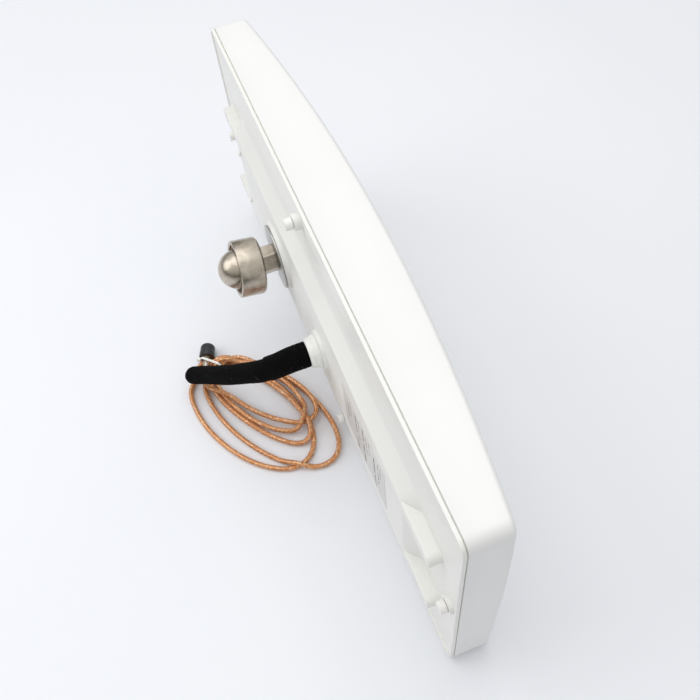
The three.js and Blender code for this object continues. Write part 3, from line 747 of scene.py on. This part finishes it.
def make_tie():
    """A closed band with rounded corners round the strands."""
    half_z = (TIE["top"] - TIE["bottom"]) / 2
    middle = (TIE["top"] + TIE["bottom"]) / 2
    outer = rounded_ring(TIE["half_width"] + TIE["thick"], half_z, 5.2, 8)
    inner = rounded_ring(TIE["half_width"], half_z - TIE["thick"], 4.2, 8)
    tilt = Matrix.Rotation(math.radians(TIE["angle"]), 3, "Z")
    half_band, edge = 1.25, 0.3
    section = [(outer, half_band - edge, 0), (outer, -half_band + edge, 0), (outer, -half_band, 1),
               (inner, -half_band, -1), (inner, -half_band + edge, 0), (inner, half_band - edge, 0),
               (inner, half_band, -1), (outer, half_band, 1)]
    rings = []
    for outline, across, side in section:
        ring = []
        for x, z in outline:
            shrink = edge * side / math.hypot(x, z)
            local = tilt @ Vector((x * (1 - shrink), across, z * (1 - shrink)))
            ring.append(on_lead(TIE["x"] + local.x, TIE["y"] + local.y, middle + local.z))
        rings.append(ring)
    points, faces = loft(rings, wrap=True)
    return mesh_piece("cable_tie_band", points, faces, NYLON, slot="screw_nylon", replaces=("cable_tie",))


def make_tie_head():
    """The tie's square lock, just outside the end of the band."""
    half_u, half_v, out = 2.4, 1.9, 3.2
    outline = rounded_ring(half_u, half_v, 0.5, 4)
    levels = [(0.3, 4.0), (0, 4.3), (0, 9.3), (0.3, 9.6)]
    tilt = math.radians(TIE["angle"])
    rings = []
    for inset, z in levels:
        ring = []
        for u, v in outline:
            u = u * (1 - inset / half_u) + TIE["half_width"] + out
            v = v * (1 - inset / half_v)
            ring.append(on_lead(TIE["x"] + u * math.cos(tilt) - v * math.sin(tilt),
                                TIE["y"] + u * math.sin(tilt) + v * math.cos(tilt), z))
        rings.append(ring)
    points, faces = loft(rings)
    return mesh_piece("cable_tie_head", points, faces, NYLON, slot="screw_nylon")


TO_AXIS = Matrix.Rotation(math.radians(TIP["angle"]), 3, "Z") @ Matrix.Rotation(-math.pi / 2, 3, "Z")


def at_tip(x, y, z):
    return on_lead(TIP["x"] + x, TIP["y"] + y, TIP["z"] + z)


def make_cap():
    """Domed dust cap: a slightly wider rim at its mouth, then a smooth crown."""
    rim = CAP_RIM - CAP_LENGTH
    dome, steps = 5.5, 8
    profile = [(CAP_BORE_R, -CAP_LENGTH), (CAP_R, -CAP_LENGTH), (CAP_R, rim), (CAP_DOME_R, rim + 0.5),
               (CAP_DOME_R, -dome, 0.3)]
    for step in range(1, steps):
        turn = step / steps * math.pi / 2
        profile.append((CAP_DOME_R * math.cos(turn), dome * (math.sin(turn) - 1), 0.1))
    profile += [(0, 0, 0), (0, -3.4, 0), (CAP_BORE_R - 1, -3.6), (CAP_BORE_R, -4.8)]
    return turned("dome_cap", profile, CAP, at_tip, "cap", "cap_black", ("dust_cap",), closed=True,
                  corner=0.3, turn=TO_AXIS, angle=40)


sleeve = make_sleeve()
tie = make_tie()
tie_head = make_tie_head()
cap = make_cap()


# ---------------- bowed front cover
def cover_depth(x, z):
    """How far the front stands out from the seam."""
    along_x = 1 - (x / (LENGTH / 2)) ** 2
    along_z = 1 - (z / (HEIGHT / 2)) ** 2
    return END_DEPTH + BOW * along_x + CROWN * along_z


def cover_rings(inset, open_y):
    """Rings from the open edge, round the front edge and in to a spine at mid height."""
    def outline(extra):
        radius = CORNER_R - inset - extra
        return rounded_ring(LENGTH / 2 - inset - extra, HEIGHT / 2 - inset - extra, radius, 12, (48, 20))

    rings = [[(x, open_y, z) for x, z in outline(0)]]
    steps = 10
    for step in range(steps + 1):
        turn = step / steps * math.pi / 2
        drop = FRONT_EDGE_R * (1 - math.sin(turn))
        extra = FRONT_EDGE_R * (1 - math.cos(turn))
        rings.append([(x, drop - cover_depth(x, z) + inset, z) for x, z in outline(extra)])
    edge = outline(FRONT_EDGE_R)
    spine = (LENGTH - HEIGHT) / 2
    inward = 14
    for step in range(1, inward + 1):
        t = step / inward
        ring = []
        for x, z in edge:
            target = max(-spine, min(spine, x))
            px, pz = x + (target - x) * t, z * (1 - t)
            ring.append((px, -cover_depth(px, pz) + inset, pz))
        rings.append(ring)
    return rings


def make_cover():
    """The outer skin, the softened edge at the seam and the inner skin, as one closed shell."""
    outer = cover_rings(0, -SEAM)
    inner = cover_rings(WALL, -SEAM)
    rings = list(reversed(outer)) + inner
    edge = 0.35
    lip = [(x * (1 - edge / LENGTH * 2), -SEAM, z * (1 - edge / HEIGHT * 2)) for x, _, z in outer[0]]
    drop = [(x, -SEAM - edge, z) for x, _, z in outer[0]]
    rings[len(outer) - 1] = drop
    rings.insert(len(outer), lip)
    points, faces = loft(rings, cap_first=False, cap_last=False)
    shell = mesh_piece("front_shell", [on_panel(*p) for p in points], faces, COVER, slot="housing_white",
                       replaces=("front_cover",), angle=50)
    # The innermost rings fold flat onto the spine, where their two sides are welded.
    work = bmesh.new()
    work.from_mesh(shell.data)
    bmesh.ops.remove_doubles(work, verts=work.verts, dist=0.01 * MM)
    work.to_mesh(shell.data)
    work.free()
    return shell


make_cover()


# ---------------- back plate
def solid(points, faces):
    """A closed solid in millimetres, ready to be joined or cut."""
    data = bpy.data.meshes.new("solid")
    data.from_pydata([tuple(p) for p in points], [], faces)
    work = bmesh.new()
    work.from_mesh(data)
    bmesh.ops.remove_doubles(work, verts=work.verts, dist=TINY)
    bmesh.ops.recalc_face_normals(work, faces=work.faces)
    work.to_mesh(data)
    work.free()
    made = bpy.data.objects.new("solid", data)
    bpy.context.collection.objects.link(made)
    return made


def layered(outline, levels):
    """A solid from (how far the outline is moved out, y) levels, bottom to top."""
    return solid(*loft([[(x, y, z) for x, z in outline(out)] for out, y in levels]))


def edge_levels(bottom, top, draft, foot, crown):
    """Levels of a raised block: a flared foot, a slightly drafted wall and a rounded top edge."""
    levels = [(foot + draft, bottom - 0.6), (foot + draft, bottom)]
    for step in range(1, 4):
        turn = step / 4 * math.pi / 2
        levels.append((draft + foot * (1 - math.sin(turn)), bottom + foot * (1 - math.cos(turn))))
    levels.append((draft, bottom + foot))
    for step in range(0, 5):
        turn = step / 4 * math.pi / 2
        levels.append((-crown * (1 - math.cos(turn)), top - crown * (1 - math.sin(turn))))
    return levels


def plateau():
    """The raised middle of the back plate, with sloped sides that run out softly."""
    def outline(out):
        return rounded_ring(PLATEAU_HALF_X + out, PLATEAU_HALF_Z + out, 4 + max(out, -3), 10, (6, 4))

    rise = PLATEAU_TOP - BASE_TOP
    levels = [(SLOPE_RUN + 2.5, BASE_TOP - 0.6), (SLOPE_RUN + 2.5, BASE_TOP)]
    levels += [(SLOPE_RUN + 1.0, BASE_TOP + 0.25), (SLOPE_RUN - 0.6, BASE_TOP + 0.95)]
    levels += [(1.4, PLATEAU_TOP - 0.95 / SLOPE_RUN * rise), (0.3, PLATEAU_TOP - 0.22), (-1.2, PLATEAU_TOP)]
    return layered(outline, levels)


def finger(turned_round, side):
    """One of the four round-nosed ribs."""
    root = PLATEAU_HALF_X - SLOPE_RUN
    nose = FINGER_NOSE_X - FINGER_THICK / 2
    offset = side * (PLATEAU_HALF_Z - FINGER_THICK / 2)

    def outline(out):
        radius = FINGER_THICK / 2 + out
        points = []
        for step in range(33):
            turn = -math.pi / 2 + step / 32 * math.pi
            points.append((nose + radius * math.cos(turn), radius * math.sin(turn)))
        points += [(root, radius), (root, -radius)]
        return [(turned_round * x, turned_round * z + offset) for x, z in points]

    return layered(outline, edge_levels(BASE_TOP, PLATEAU_TOP + 0.02, 0.25, 0.9, 0.7))


def boss(x, z, radius, bottom, top, foot=0.8, crown=0.5, sides=64):
    """A round pad or screw boss."""
    def outline(out):
        return [(x + (radius + out) * math.cos(2 * math.pi * side / sides),
                 z + (radius + out) * math.sin(2 * math.pi * side / sides)) for side in range(sides)]

    return layered(outline, edge_levels(bottom, top, 0.1, foot, crown))


def base_slab():
    """Rim, field and locating tongue as one stepped ring of levels."""
    def outline(inset):
        return rounded_ring(LENGTH / 2 - inset, HEIGHT / 2 - inset, max(CORNER_R - inset, 2.5), 12, (8, 4))

    levels = [(WALL + GAP, -TONGUE_DEPTH), (WALL + GAP, 0), (0.35, 0), (0, 0.35), (0, RIM_TOP - 0.6),
              (0.18, RIM_TOP - 0.18), (0.6, RIM_TOP), (RIM_WIDTH - 0.5, RIM_TOP),
              (RIM_WIDTH - 0.1, RIM_TOP - 0.2), (RIM_WIDTH, BASE_TOP + 0.5),
              (RIM_WIDTH + 0.15, BASE_TOP + 0.15), (RIM_WIDTH + 0.6, BASE_TOP)]
    rings = [[(x, y, z) for x, z in outline(inset)] for inset, y in levels]
    inside = [(WALL + GAP + 2, -TONGUE_DEPTH), (WALL + GAP + 2, BASE_TOP - WALL)]
    rings = [[(x, y, z) for x, z in outline(inset)] for inset, y in reversed(inside)] + rings
    return solid(*loft(rings))


def combine(target, tool, operation):
    """Joins or cuts target with tool, and removes tool."""
    modifier = target.modifiers.new("combine", "BOOLEAN")
    modifier.operation = operation
    modifier.solver = "MANIFOLD"
    modifier.object = tool
    graph = bpy.context.evaluated_depsgraph_get()
    made = bpy.data.meshes.new_from_object(target.evaluated_get(graph))
    target.modifiers.clear()
    target.data = made
    bpy.data.objects.remove(tool)


def make_back_plate():
    """One moulding: slab, plateau, four ribs, two round pads and four screw bosses."""
    plate = base_slab()
    combine(plate, plateau(), "UNION")
    for turned_round in (1, -1):
        for side in (1, -1):
            combine(plate, finger(turned_round, side), "UNION")
    combine(plate, boss(SWIVEL_X, 0, WASHER_R + 1.5, PLATEAU_TOP, PAD_TOP, 0.8, 0.6, 128), "UNION")
    combine(plate, boss(GLAND_X, 0, GLAND_R + 4, PLATEAU_TOP, PAD_TOP, 0.8, 0.6, 96), "UNION")
    for x, z, top, _ in SCREWS.values():
        combine(plate, boss(x, z, 7, BASE_TOP, top), "UNION")
    plate.name = "back_moulding"
    plate.data.transform(Matrix.Translation(on_panel(0, 0, 0)) @ Matrix.Scale(MM, 4))
    return finish_piece(plate, BACK, "panel", ("back_plate",), 24)


make_back_plate()


# ---------------- screws, label, plugs
def make_screw(name, x, z, boss_top, head_top):
    """A slotted cheese-head screw of white nylon."""
    head, shank, shank_end = 5, 1.9, -12
    slot_half, slot_depth = 0.7, 1.1
    profile = [(0, shank_end), (shank, shank_end), (shank, boss_top + GAP), (head, boss_top + GAP),
               (head, head_top - 0.1, 0.9), (0, head_top)]
    points, faces = lathe_mesh(fillet(profile, 0.5, closed=False), 64, False)
    made = solid([(px + x, py, pz + z) for px, py, pz in points], faces)
    box = [(x + sx * (head + 1), head_top + sy * slot_depth, z + sz * slot_half)
           for sx in (-1, 1) for sy in (-1, 1) for sz in (-1, 1)]
    box_faces = [(0, 1, 3, 2), (4, 6, 7, 5), (0, 4, 5, 1), (2, 3, 7, 6), (0, 2, 6, 4), (1, 5, 7, 3)]
    combine(made, solid(box, box_faces), "DIFFERENCE")
    made.name = name + "_fine"
    made.data.transform(Matrix.Translation(on_panel(0, 0, 0)) @ Matrix.Scale(MM, 4))
    return finish_piece(made, SCREW, "panel", (name,))


for screw_name, (screw_x, screw_z, boss_top, head_top) in SCREWS.items():
    make_screw(screw_name, screw_x, screw_z, boss_top, head_top)


def make_label():
    """A thin sheet with rounded corners."""
    low = PLATEAU_TOP + 0.05
    outline = rounded_ring(LABEL["half_x"], LABEL["half_z"], 2, 8)
    levels = [(0, low), (0, low + 0.2), (-0.1, low + 0.28)]
    rings = []
    for out, y in levels:
        grown = 1 + out / LABEL["half_z"]
        rings.append([on_panel(LABEL["x"] + x * grown, y, LABEL["z"] + z * grown) for x, z in outline])
    mesh_piece("blank_label", *loft(rings), PAPER, slot="label", replaces=("rating_label",))


def make_print():
    """Rows of plain bars where a printed label has its small type. They spell nothing."""
    dice = np.random.default_rng(11)
    level = PLATEAU_TOP + 0.35
    missing_share = 0.18
    points, faces = [], []
    for row_x, start, end, weight in PRINT_ROWS:
        z = start
        while z > end:
            width = dice.uniform(0.8, 2.6)
            if dice.uniform() > missing_share:
                low_x, high_x = row_x - weight / 2, row_x + weight / 2
                first = len(points)
                points += [on_panel(px, level, pz) for px, pz in (
                    (low_x, z), (high_x, z), (high_x, z - width), (low_x, z - width))]
                faces.append((first, first + 1, first + 2, first + 3))
            z -= width + dice.uniform(0.4, 1.1)
    mesh_piece("label_print", points, faces, INK, slot="label")


make_label()
make_print()


# ---------------- ball swivel
def at_swivel(x, y, z):
    return on_panel(SWIVEL_X + x, y, z)


def at_collar(x, y, z):
    """The collar's own axis passes through the ball, with its mouth tipped up."""
    tilt = math.radians(COLLAR_TILT)
    return on_panel(SWIVEL_X + x, BALL_Y + y * math.cos(tilt) - z * math.sin(tilt),
                    y * math.sin(tilt) + z * math.cos(tilt))


def make_ball_stud():
    """Threaded stud, hexagon with turned-off corners, neck and ball, all one piece."""
    profile = [(0, STUD_END), (STUD_R - 1, STUD_END), (STUD_R, STUD_END + 1), (STUD_R, WASHER_TOP + 1),
               (NECK_R, WASHER_TOP + 1)]
    start = math.asin(NECK_R / BALL_R)
    steps = 56
    for step in range(steps):
        turn = start + (math.pi - start) * step / steps
        profile.append((BALL_R * math.sin(turn), BALL_Y - BALL_R * math.cos(turn), 0))
    profile.append((0, BALL_Y + BALL_R))
    points, faces = lathe_mesh(fillet(profile, 0.5, closed=False), 112, False)
    stud = solid(points, faces)
    sides = 6
    corner = HEX_FLATS / math.sqrt(3)
    hexagon = [(corner * math.cos(math.pi / 3 * side), corner * math.sin(math.pi / 3 * side))
               for side in range(sides)]
    hexagon = fillet(hexagon, 0.5)
    prism = solid(*loft([[(x, y, z) for x, z in hexagon] for y in (WASHER_TOP + GAP, HEX_TOP)]))
    wide, narrow_low, narrow_high, bevel = 14.3, 13.0, 12.9, 1.6
    chamfer = [(0, WASHER_TOP), (narrow_low, WASHER_TOP), (wide, WASHER_TOP + bevel),
               (wide, HEX_TOP - bevel), (narrow_high, HEX_TOP + 0.1), (0, HEX_TOP + 0.1)]
    combine(prism, solid(*lathe_mesh(chamfer, 96, False)), "INTERSECT")
    combine(stud, prism, "UNION")
    stud.name = "swivel_ball_stud"
    stud.data.transform(Matrix.Translation(at_swivel(0, 0, 0)) @ Matrix.Scale(MM, 4))
    return finish_piece(stud, NICKEL, "panel", ("ball_stud",), 28)


def make_collar():
    """Loose ring with a turned-in lip at its back and a thread cut inside its mouth."""
    front = COLLAR_BACK + COLLAR_LENGTH
    lip_top = COLLAR_BACK + COLLAR_LIP
    profile = [
        (COLLAR_LIP_R, COLLAR_BACK), (COLLAR_R - 1.5, COLLAR_BACK), (COLLAR_R, COLLAR_BACK + 2),
        (COLLAR_R, front - 0.7), (COLLAR_R - 0.7, front), (COLLAR_BORE_R + 0.8, front),
        (COLLAR_BORE_R, front - 0.8),
    ]
    pitch, depth, soft = 1.5, 0.55, 0.15
    crest = front - 2.0
    while crest > lip_top + 8:
        profile += [(COLLAR_BORE_R, crest, soft), (COLLAR_BORE_R + depth, crest - 0.5, soft),
                    (COLLAR_BORE_R + depth, crest - 0.7, soft), (COLLAR_BORE_R, crest - 1.2, soft)]
        crest -= pitch
    profile += [(COLLAR_BORE_R, lip_top), (COLLAR_LIP_R, lip_top)]
    turned("collar_ring", profile, NICKEL, at_collar, "collar", "swivel_nickel", ("retaining_collar",),
           segments=128, closed=True, corner=0.3, angle=30)


def make_washer():
    hole, bottom = STUD_R + GAP, WASHER_TOP - WASHER_THICK
    profile = [(hole, bottom), (WASHER_R, bottom), (WASHER_R, WASHER_TOP), (hole, WASHER_TOP)]
    turned("washer_disc", profile, STEEL, at_swivel, slot="steel", replaces=("mount_washer",),
           segments=128, closed=True, corner=0.35)


make_ball_stud()
make_collar()
make_washer()


# ---------------- cable gland
def at_gland(x, y, z):
    return on_panel(GLAND_X + x, y, z)


def make_gland():
    """Flange, body with a rounded shoulder and the thread that passes through the plate."""
    foot = PAD_TOP + 0.05
    bore, thread, thread_end, flange = COAX_R + 0.5, 10, 2, 15
    profile = [
        (bore, thread_end), (thread, thread_end), (thread, foot), (flange, foot), (flange, foot + 3.0, 0.8),
        (GLAND_R, foot + 4.2, 0.8), (GLAND_R, GLAND_END_Y - 2.6, 1.6), (GLAND_R - 1.6, GLAND_END_Y, 0.6),
        (bore, GLAND_END_Y),
    ]
    turned("gland_dome", profile, FITTING, at_gland, slot="fitting_white", replaces=("cable_gland",),
           closed=True, corner=0.5)


make_gland()

# ---------------- finishes of the carried-over CAD pieces
CAD_FINISHES = {
    GASKET: ["seam_gasket"],
    ALUMINIUM: ["ground_plane", "near_patch", "far_patch"],
    NYLON: ["near_patch_post", "far_patch_post", "seat_ring", "connector_insulator",
            *[f"ground_plane_spacer_{number}" for number in range(1, 5)]],
    BOARD: ["feed_board"],
    BRASS: ["near_feed_pin", "far_feed_pin", "centre_contact"],
    COAX: ["inner_pigtail"],
    STEEL: ["stiffener_plate", "lock_washer", "stud_nut"],
    FITTING: ["gland_lock_nut", "upper_drain_plug", "lower_drain_plug"],
    NICKEL: ["connector_body", "coupling_nut"],
}
for finish, node_names in CAD_FINISHES.items():
    for node_name in node_names:
        for material_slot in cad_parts[node_name].material_slots:
            material_slot.material = finish


# ---------------- floor and light
def make_floor():
    """A wide pale floor with hardly visible clouds."""
    made = Shader("pale_floor", 0.55)
    made.colour(made.ramp(made.noise(1.4, 3), [(0.3, (0.815, 0.835, 0.88)), (0.7, (0.85, 0.865, 0.905))]))
    half = 4.0
    data = bpy.data.meshes.new("floor")
    corners = [(-half, -half, 0), (half, -half, 0), (half, half, 0), (-half, half, 0)]
    data.from_pydata(corners, [], [(0, 1, 2, 3)])
    data.materials.append(made.material)
    floor = bpy.data.objects.new("floor", data)
    bpy.context.collection.objects.link(floor)


def make_light(name, place, size, power):
    """A soft round light that faces the panel."""
    data = bpy.data.lights.new(name, "AREA")
    data.shape = "DISK"
    data.size = size
    data.energy = power
    light = bpy.data.objects.new(name, data)
    light.location = place
    light.rotation_euler = (Vector((0, 0.03, 0.1)) - Vector(place)).to_track_quat("-Z", "Y").to_euler()
    bpy.context.collection.objects.link(light)


def make_world():
    """A white room: brightest overhead, and grey low down where the walls are."""
    world = bpy.data.worlds.new("studio")
    world.use_nodes = True
    nodes, links = world.node_tree.nodes, world.node_tree.links
    place = nodes.new("ShaderNodeTexCoord")
    split = nodes.new("ShaderNodeSeparateXYZ")
    ramp = nodes.new("ShaderNodeValToRGB")
    stops = [
        (0.0, (0.1, 0.095, 0.085)), (0.2, (0.3, 0.29, 0.27)), (0.5, (0.85, 0.85, 0.84)), (0.9, (1, 1, 1)),
    ]
    while len(ramp.color_ramp.elements) < len(stops):
        ramp.color_ramp.elements.new(0.5)
    for element, (at, colour) in zip(ramp.color_ramp.elements, stops):
        element.position = at
        element.color = (*colour, 1)
    links.new(place.outputs["Generated"], split.inputs["Vector"])
    links.new(split.outputs["Z"], ramp.inputs["Fac"])
    background = nodes["Background"]
    links.new(ramp.outputs["Color"], background.inputs["Color"])
    background.inputs["Strength"].default_value = 0.86
    bpy.context.scene.world = world


make_floor()
make_world()
make_light("overhead", (0.35, -0.05, 1.9), 2.0, 10.5)
make_light("window", (0.5, 1.5, 1.3), 1.6, 9)
bpy.context.scene.view_settings.view_transform = "Standard"
